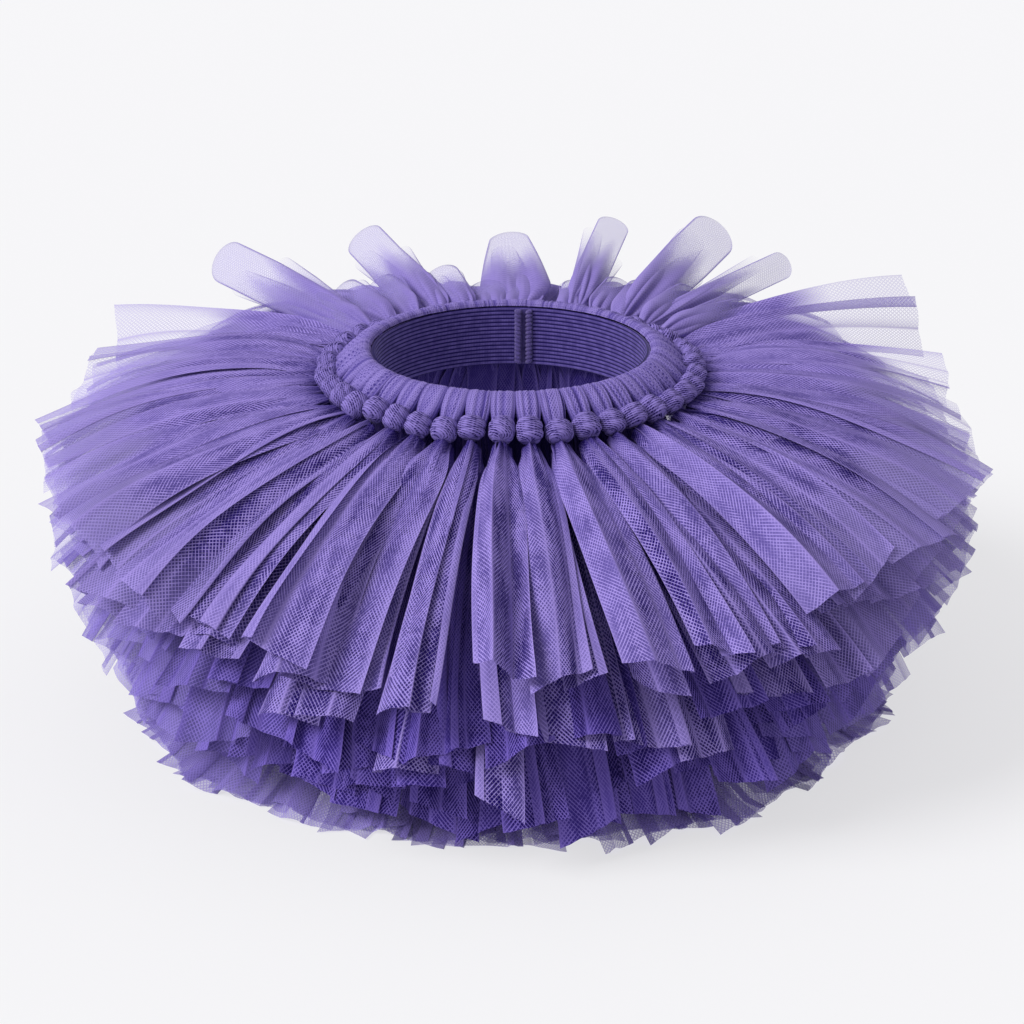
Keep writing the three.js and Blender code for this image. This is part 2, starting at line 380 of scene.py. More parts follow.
@dataclass(frozen=True)
class GatheredFinish:
    """Many layers of tulle pressed together: opaque, with lines of thread over pits of painted shade."""

    name: str
    thread_colour: Colour
    pit_shade_colour: Colour
    pitch: float
    lean: float
    least: float
    most: float
    crossing: float

    def material(self) -> bpy.types.Material:
        """Builds the gathered cloth, with its threads raised over its pits and painted shade in its creases.
        """
        nodes = Nodes(self.name)
        first = nodes.ramp(nodes.long_noise(230.0, 90.0, 3.0), 0.35, 0.65, self.least, self.most)
        second = nodes.ramp(nodes.long_noise(230.0, 90.0, 17.0), 0.35, 0.65, self.least, self.most)
        second = nodes.maths("MULTIPLY", second, self.crossing)
        net = nodes.diamond_net(self.pitch, (first, second), self.lean)
        crease = nodes.weave()[0]
        # Painted shade: the pits, and the creases that the record gives, take the pit colour
        presence_and_shade = nodes.maths("MULTIPLY", net, nodes.maths("SUBTRACT", 1.0, crease))
        nodes.feed(nodes.blend(presence_and_shade, self.pit_shade_colour, self.thread_colour), nodes.shader.inputs["Base Color"])
        nodes.bump(net, 0.0003, 0.7)
        nodes.cloth_shader(0.8, 0.06, CLOTH_TINT)
        return nodes.material


@dataclass(frozen=True)
class ElasticFinish:
    """Woven elastic: rubber cords under fine cross threads, with painted shade in the grooves between its
    ribs.
    """

    name: str
    colour: Colour
    groove_shade_colour: Colour
    cross_pitch: float
    rib_pitch: float

    def material(self) -> bpy.types.Material:
        """Builds the weave's fine cross threads and painted shade in the grooves between the modelled ribs.
        """
        nodes = Nodes(self.name)
        u, v = nodes.cloth_axes()
        ticks = nodes.maths("PINGPONG", nodes.maths("DIVIDE", u, self.cross_pitch), 0.5)
        cross = nodes.ramp(ticks, 0.02, 0.35, 0.55, 1.0)
        # Painted shade in the grooves between the ribs
        rows = nodes.maths("PINGPONG", nodes.maths("DIVIDE", v, self.rib_pitch), 0.5)
        rib = nodes.ramp(rows, 0.1, 0.3, 0.0, 1.0)
        uneven = nodes.ramp(nodes.object_noise(260.0), 0.3, 0.7, 0.6, 1.0)
        weave = nodes.maths("MULTIPLY", nodes.maths("MULTIPLY", cross, uneven), rib)
        nodes.feed(nodes.blend(weave, self.groove_shade_colour, self.colour), nodes.shader.inputs["Base Color"])
        nodes.bump(weave, 0.0003, 0.7)
        nodes.cloth_shader(0.7, 0.2, (0.8, 0.75, 1.0, 1.0))
        return nodes.material


@dataclass(frozen=True)
class FloorFinish:
    """The matt pale surface that the skirt stands on, lit from below as a light table is."""

    name: str
    colour: Colour
    glow: float

    def material(self) -> bpy.types.Material:
        """Builds the plain matt surface."""
        nodes = Nodes(self.name)
        nodes.shader.inputs["Base Color"].default_value = self.colour
        nodes.shader.inputs["Roughness"].default_value = 0.9
        nodes.shader.inputs["Specular IOR Level"].default_value = 0.1
        nodes.shader.inputs["Emission Color"].default_value = (0.985, 0.98, 1.0, 1.0)
        nodes.shader.inputs["Emission Strength"].default_value = self.glow
        return nodes.material


TOP_NET = NetFinish(
    name="top_tulle",
    thread_colour=(0.345, 0.266, 0.675, 1.0),
    filled_colour=(0.185, 0.138, 0.46, 1.0),
    shaded_under_colour=(0.06, 0.034, 0.255, 1.0),
    shaded_deep_colour=(0.015, 0.006, 0.135, 1.0),
)
# A darker copy of the top tulle: painted shade for the tiers that lie under the top one
SHADED_LOWER_NET = NetFinish(
    name="shaded_lower_tulle",
    thread_colour=(0.2, 0.14, 0.53, 1.0),
    filled_colour=(0.075, 0.046, 0.33, 1.0),
    shaded_under_colour=(0.034, 0.017, 0.21, 1.0),
    shaded_deep_colour=(0.012, 0.005, 0.1, 1.0),
)
FLOOR_NET = NetFinish(
    name="floor_tulle",
    thread_colour=(0.26, 0.195, 0.6, 1.0),
    filled_colour=(0.11, 0.075, 0.38, 1.0),
    shaded_under_colour=(0.045, 0.025, 0.24, 1.0),
    shaded_deep_colour=(0.014, 0.006, 0.12, 1.0),
    thread_alpha=0.74,
    hole_alpha=0.36,
    pale_colour=(0.31, 0.245, 0.66, 1.0),
)
LOOP_NET = NetFinish(
    name="loop_tulle",
    thread_colour=(0.3, 0.235, 0.6, 1.0),
    filled_colour=(0.25, 0.19, 0.54, 1.0),
    shaded_under_colour=(0.2, 0.15, 0.48, 1.0),
    shaded_deep_colour=(0.15, 0.11, 0.4, 1.0),
    pitch=1.3 * MM,
    lean=42.0,
    thread_alpha=0.28,
    hole_alpha=0.14,
    fold_alpha=0.8,
)
WRAP_CLOTH = GatheredFinish(
    name="wrapped_tulle",
    thread_colour=(0.28, 0.217, 0.58, 1.0),
    pit_shade_colour=(0.085, 0.058, 0.3, 1.0),
    pitch=1.1 * MM,
    lean=24.0,
    least=0.45,
    most=0.85,
    crossing=0.8,
)
KNOT_CLOTH = GatheredFinish(
    name="knotted_tulle",
    thread_colour=(0.26, 0.2, 0.56, 1.0),
    pit_shade_colour=(0.018, 0.009, 0.11, 1.0),
    pitch=1.2 * MM,
    lean=70.0,
    least=0.45,
    most=0.95,
    crossing=0.3,
)
ELASTIC = ElasticFinish(
    name="ribbed_elastic",
    colour=(0.18, 0.135, 0.47, 1.0),
    groove_shade_colour=(0.016, 0.009, 0.1, 1.0),
    cross_pitch=0.9 * MM,
    rib_pitch=2.133 * MM,
)
STITCHES = ElasticFinish(
    name="stitching_thread",
    colour=(0.3, 0.235, 0.6, 1.0),
    groove_shade_colour=(0.1, 0.07, 0.3, 1.0),
    cross_pitch=0.5 * MM,
    rib_pitch=0.7 * MM,
)
FLOOR = FloorFinish(name="pale_surface", colour=(0.285, 0.285, 0.29, 1.0), glow=0.648)


@dataclass(frozen=True)
class Cloth:
    """A grid of cloth, with its own coordinates and how its net shows at each point."""

    points: np.ndarray
    flat: np.ndarray
    opened: np.ndarray
    sheer: np.ndarray
    fold: np.ndarray
    presence_and_shade: np.ndarray

    def faces(self, start: int) -> np.ndarray:
        """Gives the corners of the grid's faces, counted from a start."""
        rows, columns = self.points.shape[:2]
        first = start + (np.arange(rows - 1)[:, None] * columns + np.arange(columns - 1)[None, :])
        return np.stack([first, first + columns, first + columns + 1, first + 1], axis=-1).reshape(-1, 4)

    def weave(self) -> np.ndarray:
        """Gives the net's record for each point, as a colour."""
        shape = self.points.shape[:2]
        bands = [np.broadcast_to(band, shape) for band in (self.opened, self.sheer, self.fold, self.presence_and_shade)]
        return np.clip(np.stack(bands, axis=-1), 0.0, 1.0).reshape(-1, 4)


def pressed_cloth(points: np.ndarray, flat: np.ndarray, crease: np.ndarray) -> Cloth:
    """Makes a grid of gathered cloth, with how deep the painted shade in its creases is at each point."""
    return Cloth(points, flat, crease, np.zeros(1), np.zeros(1), np.ones(1))


def cloth_piece(name: str, cloths: list[Cloth], *materials: bpy.types.Material) -> bpy.types.Object:
    """Makes one piece from several grids of cloth.

    Args:
        name: The piece's name.
        cloths: The grids.
        materials: The piece's finish, then the finish of its faces that are seen through, if it has any.

    Returns:
        The piece, smooth shaded, with its cloth coordinates in the UV map cloth.
    """
    starts = np.cumsum([0] + [cloth.points.shape[0] * cloth.points.shape[1] for cloth in cloths])
    faces = np.concatenate([cloth.faces(start) for cloth, start in zip(cloths, starts)])
    flat = np.concatenate([cloth.flat.reshape(-1, 2) for cloth in cloths])
    points = np.concatenate([cloth.points.reshape(-1, 3) for cloth in cloths])
    mesh = bpy.data.meshes.new(name)
    mesh.from_pydata(points.tolist(), [], faces.tolist())
    layer = mesh.uv_layers.new(name="cloth")
    layer.uv.foreach_set("vector", flat[faces.ravel()].ravel().astype(np.float32))
    record = mesh.color_attributes.new(name="weave", type="FLOAT_COLOR", domain="POINT")
    weave = np.concatenate([cloth.weave() for cloth in cloths])
    record.data.foreach_set("color", weave.ravel().astype(np.float32))
    mesh.polygons.foreach_set("use_smooth", np.ones(len(faces), dtype=bool))
    for material in materials:
        mesh.materials.append(material)
    if len(materials) > 1:
        thin = weave[:, 1][faces].max(axis=1) > 0.001
        mesh.polygons.foreach_set("material_index", thin.astype(np.int32))
    piece = bpy.data.objects.new(name, mesh)
    bpy.context.scene.collection.objects.link(piece)
    return piece


@dataclass(frozen=True)
class Section:
    """A tail's folds at its cut end, from one edge of the cloth to the other."""

    across: np.ndarray
    depth: np.ndarray
    length: np.ndarray
    opened: np.ndarray
    dense: np.ndarray
    fold: np.ndarray

    # Share of the fold's width, how many layers lie there and how bent the cloth is, which also sets a
    # painted highlight on the crease
    facet_marks = (
        (0.02, 1.0, 1.0),
        (0.07, 0.9, 0.45),
        (0.19, 0.6, 0.05),
        (0.36, 0.35, 0.0),
        (0.54, 0.15, 0.0),
        (0.72, 0.0, 0.0),
        (0.88, 0.0, 0.05),
        (0.96, 0.2, 0.35),
        (0.99, 0.4, 0.8),
    )
    tuck_marks = ((0.1, 1.0, 0.8), (0.5, 1.0, 0.3), (0.9, 1.0, 0.8))

    @classmethod
    def folded(
        cls, rng: np.random.Generator, cloth_width: float, tip_width: float, steep: float
    ) -> "Section":
        """Folds a strip into uneven facets, some of them tucked back under the last one.

        Args:
            rng: The tier's seeded source of unevenness.
            cloth_width: The strip's width laid flat, in metres.
            tip_width: The width that it spans at its cut end, in metres.
            steep: How far its facets lean, from 0 for flat to 1.

        Returns:
            The section, with its middle at 0 across.
        """
        lean = rng.choice([-1.0, 1.0])
        used, corner = 0.0, np.zeros(2)
        spots, opened, dense, fold = [], [], [], []
        while used < cloth_width:
            width, angle = rng.uniform(0.009, 0.027), lean * rng.uniform(6.0, 38.0) * steep
            openness = rng.choice([0.6, 0.85, 1.1, 1.3])
            facets = [(width, angle, openness, cls.facet_marks)]
            if rng.random() < 0.5:
                tuck = (rng.uniform(0.004, 0.009), 180.0 + rng.uniform(7.0, 16.0))
                facets.append((*tuck, 0.5, cls.tuck_marks))
            for size, slope, show, marks in facets:
                turn = math.radians(slope)
                way = size * np.array([math.cos(turn), math.sin(turn)])
                bulge = 0.09 * size * rng.uniform(-1.0, 1.0) * np.array([-math.sin(turn), math.cos(turn)])
                for share, thick, bend in marks:
                    spots.append(corner + share * way + math.sin(math.pi * share) * bulge)
                    opened.append(show * (1.0 - 0.7 * bend))
                    dense.append(thick)
                    fold.append(bend)
                corner = corner + way
                used += size
            lean = -lean
        line = np.array(spots)
        line[:, 1] -= np.linspace(line[0, 1], line[-1, 1], len(line))
        line[:, 0] -= (line[:, 0].min() + line[:, 0].max()) / 2
        line[:, 0] *= tip_width / np.ptp(line[:, 0])
        if rng.random() < 0.5:
            line[:, 0] *= -1.0
        steps = np.linalg.norm(np.diff(line, axis=0), axis=1)
        length = np.concatenate([[0.0], np.cumsum(steps)])
        return cls(line[:, 0], line[:, 1] - line[:, 1].mean(), length, *map(np.array, (opened, dense, fold)))


@dataclass(frozen=True)
class Spine:
    """The line that the middle of a tail follows, by radius and height, from knot to tip."""

    controls: np.ndarray

    @classmethod
    def arching(cls, root: tuple[float, float], tip: tuple[float, float], bow: float) -> "Spine":
        """Draws a spine that leaves its root steeply and falls towards its tip.

        Args:
            root: Radius and height where it leaves the knot.
            tip: Radius and height of its cut end.
            bow: Rise of its middle, as a share of its length.

        Returns:
            The spine.
        """
        start, end = np.array(root), np.array(tip)
        chord = end - start
        rise = np.array([-chord[1], chord[0]]) * bow
        return cls(np.array([start, start + 0.33 * chord + rise, start + 0.7 * chord + 0.8 * rise, end]))

    def at(self, share: np.ndarray) -> np.ndarray:
        """Gives radius and height at shares of the way, a little past 1 too."""
        a, b, c, d = self.controls
        t = share[..., None]
        return a * (1 - t) ** 3 + 3 * b * t * (1 - t) ** 2 + 3 * c * t**2 * (1 - t) + d * t**3

    def slope(self, share: np.ndarray) -> np.ndarray:
        """Gives the direction along the spine, of unit length."""
        step = 0.01
        way = self.at(share + step) - self.at(share - step)
        return way / np.linalg.norm(way, axis=-1, keepdims=True)

    def length(self) -> float:
        """Gives the spine's length in metres."""
        line = self.at(np.linspace(0.0, 1.0, 30))
        return float(np.linalg.norm(np.diff(line, axis=0), axis=1).sum())


@dataclass(frozen=True)
class Tail:
    """One tail of a knotted strip."""

    azimuth: float
    tip_azimuth: float
    spine: Spine
    section: Section
    root_width: float
    shoulder_width: float
    tip_width: float
    arch: float
    roll: float
    slant: float
    sink: float
    phase: float
    floor: float
    sheer: float
    sheer_start: float
    openness: float
    shade: float
    net_shift: tuple[float, float]
    keep_out: float

    def cloth(self, waist: Waist, rows: int) -> Cloth:
        """Lays the tail out as a grid of cloth.

        Args:
            waist: The waist that the tail fans out from.
            rows: How many rows of points it has from knot to tip.

        Returns:
            The tail's cloth.
        """
        section = self.section
        way = np.linspace(0.0, 1.0, rows)[:, None] ** 1.1
        side = section.across / (self.tip_width / 2)
        cut = 1.0 + self.slant * side + 0.0012 * np.sin(11.0 * side + self.phase)
        share = way * cut[None, :]
        shoulder = 1.0 - np.exp(-((share / 0.1) ** 1.7))
        width = self.root_width + (self.shoulder_width - self.root_width) * shoulder
        width = width + (self.tip_width - self.shoulder_width) * share
        x = section.across[None, :] * width / self.tip_width
        x = x + 0.045 * self.tip_width * share * np.sin(4.5 * share + self.phase + 2.2 * side[None, :])
        ripple = 1.0 + 0.3 * np.sin(5.0 * share + 2.0 * self.phase)
        y = section.depth[None, :] * (0.3 + 0.7 * np.sqrt(share)) * ripple
        y = y - self.arch * (0.3 + np.exp(-share / 0.32)) * np.abs(side[None, :]) ** 2.2
        y = y + 0.0009 * np.exp(-share / 0.22) * np.sin(section.length[None, :] * 620.0 + self.phase)
        y = y + 0.0016 * share * np.sin(7.0 * share + 1.7 * side[None, :] + self.phase)
        y = y - self.sink * np.minimum(1.0, share * 4.0)
        twist = math.radians(self.roll) * share
        x, y = x * np.cos(twist) - y * np.sin(twist), x * np.sin(twist) + y * np.cos(twist)
        line, slope = self.spine.at(share), self.spine.slope(share)
        azimuth = self.azimuth + (self.tip_azimuth - self.azimuth) * np.minimum(share, 1.0)
        radius = np.maximum(line[..., 0] - y * slope[..., 1], self.keep_out)
        height = line[..., 1] + y * slope[..., 0]
        points = waist.point(azimuth, radius, np.maximum(height, self.floor))
        turn = np.radians(azimuth)
        points[..., 0] += x * np.cos(turn)
        points[..., 1] += x * np.sin(turn)
        flat_side = np.broadcast_to(section.length[None, :] + self.net_shift[0], share.shape)
        flat = np.stack([flat_side, share * self.spine.length() + self.net_shift[1]], axis=-1)
        fade = np.clip((share - self.sheer_start + 0.05 * np.sin(5.0 * side + self.phase)) / 0.24, 0.0, 1.0)
        single = 1.0 - 0.62 * section.dense[None, :] * (1.6 - share)
        sheer = self.sheer * fade * fade * (3.0 - 2.0 * fade) * single
        patches = 0.7 + 0.3 * np.sin(6.0 * share + self.phase + 2.0 * side) ** 2
        opened = self.openness * section.opened[None, :] * patches
        fold = section.fold[None, :] * (0.4 + 0.6 * share)
        # Painted shade that deepens towards the knot, where the roots lie in shade
        presence_and_shade = 1.0 - 0.85 * np.exp(-((share / self.shade) ** 1.5))
        return Cloth(points, flat, opened, np.where(sheer < 0.01, 0.0, sheer), fold, presence_and_shade)


@dataclass(frozen=True)
class RootLine:
    """Where a tier's tails leave the knots, by radius and height in metres."""

    radius: float
    height: float


@dataclass(frozen=True)
class Stray:
    """A tail whose tip stands out from its tier, by place, azimuth, radius, height, width and roll."""

    place: int
    azimuth: float
    reach: float
    height: float
    width: float
    roll: float


@dataclass
class FannedTier:
    """A ring of tails, thin layers at each knotted place, in four pieces.

    Groups of three values hold at the front, the sides and the back. The lap rolls the side
    tails over each other, in degrees, and the hang is how far the last layer's tips fall more.
    """

    number: int
    root: RootLine
    heights: tuple[float, float, float]
    reaches: tuple[float, float, float]
    tip_widths: tuple[float, float, float]
    turn: float
    finish: NetFinish
    seed: int
    bow: float = 0.1
    stray_bow: float = 0.06
    gather: float = 1.6
    root_width: float = 0.009
    steeps: tuple[float, float, float] = (0.75, 0.34, 0.5)
    keep_out: float = 0.0
    sheers: tuple[float, float, float] = (-0.3, 1.0, 1.0)
    openings: tuple[float, float, float] = (1.25, 0.65, 0.5)
    # How far from the knot the painted shade reaches, as a share of the tail's length
    shade: float = 0.06
    lap: float = 16.0
    hang: float = 0.0
    layers: int = 2
    layer_drop: float = 0.008
    rows: int = 22
    shown_share: float = 0.75
    height_spread: float = 0.011
    reach_spread: float = 0.06
    strays: tuple[Stray, ...] = ()

    def spine(self, azimuth: float, layer: int, rng: np.random.Generator) -> Spine:
        """Draws the spine of one tail, uneven in height and reach.

        Args:
            azimuth: The tail's place in degrees.
            layer: The tail's layer, 0 on top.
            rng: The tier's seeded source of unevenness.

        Returns:
            The spine.
        """
        reach = around_waist(*self.reaches, azimuth)
        reach = self.root.radius + (reach - self.root.radius) * (1 + rng.uniform(-1, 0.5) * self.reach_spread)
        spread = self.height_spread * around_waist(1.3, 0.2, 0.4, azimuth)
        height = around_waist(*self.heights, azimuth) + rng.uniform(-1, 1) * spread
        height -= layer * self.layer_drop
        if layer == self.layers - 1:
            # Drawn apart, so that the tier's other draws stay as they are
            own = np.random.default_rng(self.seed + round(azimuth * 10.0) + 5000)
            height -= float(own.uniform(0.0, self.hang)) * around_waist(1.0, 0.2, 0.0, azimuth)
        lift = self.bow * around_waist(0.75, 1.1, 1.8, azimuth)
        return Spine.arching((self.root.radius, self.root.height), (reach, max(height, 0.002)), lift)

    def tail(self, place: int, layer: int, azimuth: float, rng: np.random.Generator) -> Tail:
        """Cuts and places one tail.

        Args:
            place: The knotted place that it comes from.
            layer: Its layer, 0 on top.
            azimuth: Its place in degrees.
            rng: The tier's seeded source of unevenness.

        Returns:
            The tail.
        """
        tip_width = around_waist(*self.tip_widths, azimuth) * rng.uniform(0.72, 1.15)
        swing = float(np.random.default_rng(self.seed + 7 * place).uniform(-2.2, 2.2))
        swing *= around_waist(1.0, 0.5, 0.6, azimuth)
        swing += (self.turn + (layer % 2) * around_waist(0.2, 0.5, 0.5, azimuth)) * 360.0 / PLACES
        rolling = around_waist(10.0, 3.0, 5.0, azimuth)
        lean = self.lap * math.sin(math.radians(azimuth))
        tip_azimuth, roll = azimuth + swing + rng.uniform(-0.9, 0.9), rng.uniform(-rolling, rolling) + lean
        spine = self.spine(azimuth, layer, rng)
        for stray in self.strays:
            if stray.place == place and layer == 0:
                tip_width, tip_azimuth, roll = stray.width, stray.azimuth, stray.roll
                tip = (stray.reach, stray.height)
                spine = Spine.arching((self.root.radius, self.root.height), tip, self.stray_bow)
        steep = around_waist(*self.steeps, azimuth)
        return Tail(
            azimuth=azimuth + rng.uniform(-0.4, 0.4),
            tip_azimuth=tip_azimuth,
            spine=spine,
            section=Section.folded(rng, self.gather * tip_width, tip_width, steep),
            root_width=self.root_width,
            shoulder_width=around_waist(0.62, 1.0, 0.9, azimuth) * tip_width,
            tip_width=tip_width,
            arch=rng.uniform(0.5, 1.0) * around_waist(0.006, 0.002, 0.003, azimuth),
            roll=roll,
            slant=rng.uniform(-0.05, 0.05),
            sink=layer * around_waist(0.0025, 0.0012, 0.002, azimuth),
            phase=rng.uniform(0.0, 6.28),
            floor=0.0003 + 0.0002 * ((place + layer) % 4),
            sheer=max(0.0, around_waist(*self.sheers, azimuth)),
            sheer_start=rng.uniform(0.5, 0.72) - around_waist(0.0, 0.1, 0.13, azimuth),
            openness=self.opening(place, layer, azimuth),
            shade=self.shade,
            net_shift=(rng.uniform(0.0, 0.5), rng.uniform(0.0, 0.5)),
            keep_out=self.keep_out,
        )

    def opening(self, place: int, layer: int, azimuth: float) -> float:
        """Gives how open one tail's net is: some are filled by the cloth behind them and look paler.

        Args:
            place: The knotted place that it comes from.
            layer: Its layer, 0 on top.
            azimuth: Its place in degrees.

        Returns:
            The openness, 1 where the holes and the painted shade in them show the most.
        """
        own = np.random.default_rng(1000 * (self.seed + 6) + 10 * place + layer)
        return around_waist(*self.openings, azimuth) * float(own.choice((0.7, 0.9, 1.0, 1.2)))

    def tails(self, side: Side) -> list[Tail]:
        """Cuts and places the tails of one quarter."""
        rng = np.random.default_rng(self.seed + int(side.value))
        azimuths = [(place, place_azimuth(place)) for place in range(PLACES)]
        return [
            self.tail(place, layer, azimuth, rng)
            for place, azimuth in azimuths
            if side.holds(azimuth)
            for layer in range(self.layers)
        ]

    def build(self, waist: Waist) -> list[bpy.types.Object]:
        """Args:
            waist: The waist that the tails fan out from.

        Returns:
            The pieces, one for each quarter.
        """
        finishes = [self.finish.material(sheer) for sheer in (False, True)]
        pieces = []
        for side in Side:
            tails = self.tails(side)
            cloths = [tail.cloth(waist, self.rows) for tail in tails]
            piece = cloth_piece(f"tails_{self.number}_{side.word}", cloths, *finishes)
            length = float(np.mean([tail.spine.length() for tail in tails]))
            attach(piece, "root")
            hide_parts(f"tier_{self.number}_{side.word}")
            pieces.append(piece)
        return pieces


@dataclass
class FloorTier(FannedTier):
    """The lowest tails, which hang behind the elastic and lie out on the floor."""

    def spine(self, azimuth: float, layer: int, rng: np.random.Generator) -> Spine:
        """Draws a spine down the back of the elastic and out to the floor.

        Args:
            azimuth: The tail's place in degrees.
            layer: The tail's layer, 0 on top.
            rng: The tier's seeded source of unevenness.

        Returns:
            The spine.
        """
        reach = around_waist(*self.reaches, azimuth) + rng.uniform(-0.005, 0.005)
        return Spine(
            np.array(
                [
                    [self.root.radius, self.root.height],
                    [self.root.radius + 0.006, self.root.height - 0.075],
                    [reach - 0.062, 0.030],
                    [reach, 0.0012],
                ]
            )
        )


@dataclass
class KnotRow:
    """The strips' folds over the elastic, their necks and their knots, all round."""

    wrap_columns: int = 33
    knot_sides: int = 34
    knot_rows: int = 25
    knot_radius: float = 0.0938
    knot_height: float = 0.1713
    knot_reach: float = 0.0061
    knot_girth: float = 0.0063
    wrap_flat: tuple[float, float] = (0.0185, 0.029)
    seed: int = 7

    # The middle of a wrap: radius, height, half width and how far its edges fall, in mm
    wrap_line = (
        (71.4, 182.8, 5.40, 0.1),
        (72.2, 184.4, 5.55, 0.4),
        (74.2, 185.4, 5.80, 0.8),
        (76.8, 185.2, 6.00, 1.3),
        (79.8, 183.9, 6.15, 2.0),
        (82.8, 181.9, 6.25, 2.7),
        (85.8, 179.4, 6.10, 3.4),
        (88.6, 176.6, 5.55, 3.9),
        (91.1, 174.0, 4.85, 4.2),
        (93.3, 171.0, 4.40, 4.4),
    )

    def wrap(self, waist: Waist, azimuth: float, rng: np.random.Generator) -> Cloth:
        """Lays out the cloth from the elastic's edge to the knot, pleated along its length, with painted
        shade in its creases, along its edges and at its neck.

        Args:
            waist: The waist that it wraps.
            azimuth: The knotted place in degrees.
            rng: The seeded source of unevenness.

        Returns:
            The wrap's cloth.
        """
        table = np.array(self.wrap_line) * MM
        steps = np.linspace(0.0, len(table) - 1.0, 3 * len(table) - 2)
        radius, height, half, fall = (np.interp(steps, np.arange(len(table)), column) for column in table.T)
        line = np.stack([radius, height], axis=-1)
        slope = np.gradient(line, axis=0)
        slope /= np.linalg.norm(slope, axis=1, keepdims=True)
        turn = np.linspace(-1.0, 1.0, self.wrap_columns) * math.pi / 2
        depth = np.interp(steps, [0, 2, 5, 9], [0.0002, 0.0004, 0.0009, 0.0011])
        pleats = 0.2 * np.sin(13.0 * turn + rng.uniform(0.0, 6.28))
        for _ in range(9):
            middle, narrow = rng.uniform(-1.3, 1.3), rng.uniform(0.05, 0.11)
            pleats -= rng.uniform(0.3, 1.0) * np.exp(-(((turn - middle) / narrow) ** 2))
        shift = rng.uniform(-0.0005, 0.0005) * steps / steps[-1]
        x = half[:, None] * (np.sign(turn) * np.abs(np.sin(turn)) ** 0.85)[None, :] + shift[:, None]
        y = -fall[:, None] * (1.0 - np.cos(turn) ** 0.6)[None, :] + depth[:, None] * pleats[None, :]
        out = radius[:, None] - y * slope[:, 1:2]
        up = height[:, None] + y * slope[:, 0:1]
        points = waist.point(np.full_like(out, azimuth), out, up) + x[..., None] * across(azimuth)
        length = np.concatenate([[0.0], np.cumsum(np.linalg.norm(np.diff(line, axis=0), axis=1))])
        flat_side = np.broadcast_to(turn[None, :] * 0.006 + rng.uniform(0, 0.01), x.shape)
        flat_length = np.broadcast_to(length[:, None] + rng.uniform(0, 0.01), x.shape)
        # Painted shade in the pleats' creases, along the wrap's edges and at its neck above the knot
        crease = np.clip(-0.85 * pleats - 0.1, 0.0, 0.9) + 0.7 * np.abs(np.sin(turn)) ** 14
        narrowed = np.clip((steps / steps[-1] - 0.62) / 0.38, 0.0, 1.0)[:, None]
        neck_shade = narrowed * (0.25 + 0.75 * np.sin(turn) ** 2)
        flat = np.stack([flat_side, flat_length], axis=-1)
        return pressed_cloth(points, flat, crease[None, :] + 0.8 * neck_shade)

    def knot(self, waist: Waist, azimuth: float, rng: np.random.Generator) -> Cloth:
        """Lays out one knot: a barrel of wound cloth with its turns showing and painted shade in the grooves
        between them.

        Args:
            waist: The waist that it sits beside.
            azimuth: The knotted place in degrees.
            rng: The seeded source of unevenness.

        Returns:
            The knot's cloth.
        """
        radius = self.knot_radius + rng.uniform(-0.0012, 0.0012)
        turned = azimuth + rng.uniform(-0.5, 0.5)
        centre = waist.point(turned, radius, self.knot_height + rng.uniform(-0.0012, 0.0012))
        fall = math.radians(38.0 + rng.uniform(-11.0, 11.0))
        axis = outward(azimuth) * math.cos(fall) + np.array([0.0, 0.0, -math.sin(fall)])
        side = across(azimuth)
        up = np.cross(axis, side)
        along = np.linspace(-1.0, 1.0, self.knot_rows)[:, None]
        turn = np.linspace(0.0, 2.0 * math.pi, self.knot_sides + 1)[None, :]
        barrel = np.clip(1.0 - np.abs(along) ** 3.0, 0.0, 1.0) ** 0.5
        lean, phase = rng.uniform(0.2, 0.5), rng.uniform(0.0, 6.28)
        wound = along + lean * np.sin(turn + phase)
        turns = rng.uniform(3.6, 4.8)
        band = np.abs(np.sin(wound * turns + phase))
        ridges = 0.0008 * (band**0.5 - 0.6) + 0.00012 * np.sin(wound * 21.0)
        reach = self.knot_reach * rng.uniform(0.9, 1.12)
        closed = np.clip(barrel * 6.0, 0.0, 1.0)
        girth = (self.knot_girth * rng.uniform(0.92, 1.07) + ridges) * (0.32 + 0.68 * barrel) * closed
        points = (
            centre
            + (along * reach * np.ones_like(turn))[..., None] * axis
            + (girth * 1.04 * np.cos(turn))[..., None] * side
            + (girth * np.sin(turn))[..., None] * up
        )
        flat = np.stack([turn * 0.006 * np.ones_like(along), wound * 0.0065], axis=-1)
        # Painted shade in the grooves between the knot's turns
        return pressed_cloth(points, flat, np.clip(0.8 - 2.6 * band, 0.0, 0.8))

    def build(self, waist: Waist) -> list[bpy.types.Object]:
        """Args:
            waist: The waist that they sit on.

        Returns:
            The two pieces.
        """
        rng = np.random.default_rng(self.seed)
        azimuths = [place_azimuth(place) for place in range(PLACES)]
        wrapped = [self.wrap(waist, azimuth, rng) for azimuth in azimuths]
        knotted = [self.knot(waist, azimuth, rng) for azimuth in azimuths]
        wraps = cloth_piece("wraps", wrapped, WRAP_CLOTH.material())
        knots = cloth_piece("knots", knotted, KNOT_CLOTH.material())
        for piece in (wraps, knots):
            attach(piece, "root")
        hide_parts(*[f"knot_{place + 1:02d}" for place in range(PLACES)])
        logger.info("wraps and knots at %d places", PLACES)
        return [wraps, knots]


@dataclass(frozen=True)
class LoopCut:
    """One closed loop at the back: its tip's place, its widths and where it stops narrowing."""

    place: int
    azimuth: float
    reach: float
    height: float
    width: float
    foot: float
    narrowing: float = 0.6


@dataclass(frozen=True)
class Petal:
    """One layer of a loop: its length and width as shares of the loop's, and its turn in the loop's face."""

    length: float
    width: float
    turn: float
    ends_clear: bool


